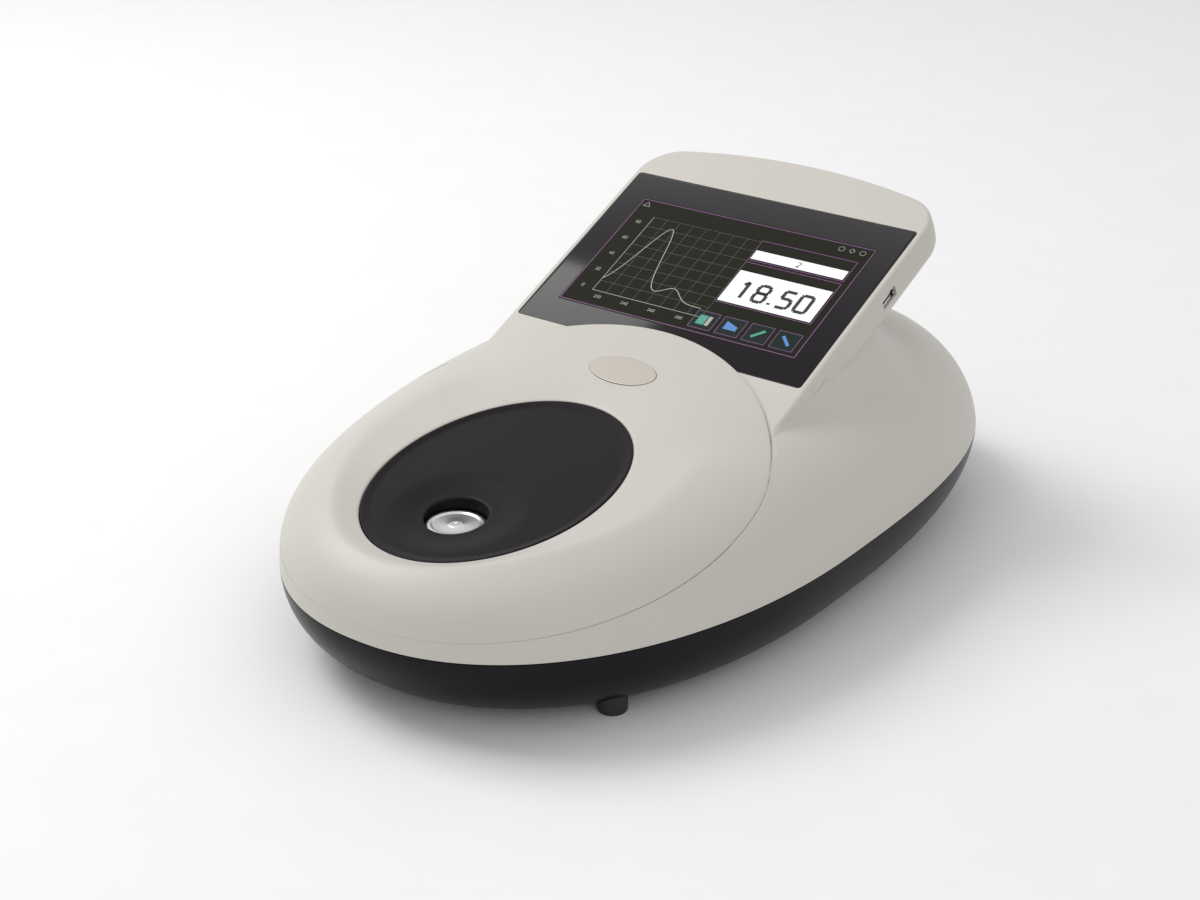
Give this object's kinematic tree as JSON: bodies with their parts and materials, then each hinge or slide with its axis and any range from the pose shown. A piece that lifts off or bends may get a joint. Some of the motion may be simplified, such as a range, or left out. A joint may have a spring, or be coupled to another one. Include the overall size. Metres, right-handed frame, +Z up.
{
  "type": "microvolume spectrophotometer",
  "caption": "Egg-shaped bench instrument with a tilted touch display, an oval dished cover and a small sample well in a black oval deck.",
  "frame": {"origin": "on the bench plane, under the middle of the case", "axes": "+Z up, -Y towards the user and the sample well, +X to the user's right"},
  "size_m": [0.2801, 0.4554, 0.1786],
  "materials": {
    "anodised": "black anodised aluminium",
    "badge": "brushed champagne metal, bare",
    "board": "green circuit board",
    "brass": "brass",
    "bulb": "clear bulb glass",
    "chip": "black package",
    "deck": "satin black moulding",
    "disc": "fine turned steel",
    "display": "black printed cover glass",
    "fibre": "black fibre jacket",
    "foot": "matt black rubber",
    "gasket": "foam gasket",
    "header": "natural nylon",
    "lcd": "display module",
    "mirror": "ruled mirror",
    "panel": "black panel",
    "plate": "milled aluminium",
    "quartz": "polished quartz",
    "ribbon": "flat cable",
    "screw": "zinc plated steel",
    "seal": "matt black rubber",
    "shell": "satin warm white moulding",
    "socket": "bright plated shell",
    "switch": "black switch plastic",
    "tub": "satin black moulding",
    "zinc": "zinc plated sheet"
  },
  "bodies": {
    "case": {"base_tub": "tub", "upper_shell": "shell", "front_cover": "shell", "deck_insert": "deck", "badge_plate": "badge", "port_disc": "disc", "port_window": "quartz", "port_seal": "seal", "port_holder": "anodised", "rubber_feet": "foot", "foot_screws": "screw", "case_screws": "screw", "optical_bench": "plate", "lamp_housing": "anodised", "lamp_reflector": "mirror", "lamp_bulb": "bulb", "lamp_board": "board", "source_fibre": "fibre", "return_fibre": "fibre", "spectrometer_body": "anodised", "spectrometer_lid": "anodised", "slit_plate": "plate", "grating": "mirror", "detector_board": "board", "chassis_plate": "zinc", "chassis_screws": "screw", "board_standoffs": "brass", "board_screws": "screw", "main_board": "board", "board_parts": "chip", "ribbon_header": "header", "display_glass": "display", "display_gasket": "gasket", "lcd_panel": "lcd", "display_bracket": "zinc", "display_screws": "screw", "display_spacers": "brass", "display_board": "board", "display_header": "header", "display_ribbon": "ribbon", "usb_a_socket": "socket", "usb_a_board": "board", "rear_panel": "panel", "panel_screws": "screw", "power_inlet": "switch", "usb_b_socket": "socket", "switch_housing": "switch", "switch_terminals": "brass"},
    "rocker": {"switch_rocker": "switch"}
  },
  "joints": [
    {"name": "power_switch", "type": "hinge", "parent": "case", "child": "rocker", "pos_m": [0.025, 0.1956, 0.063], "axis": [1, 0, 0], "range_deg": [0, 20]}
  ]
}
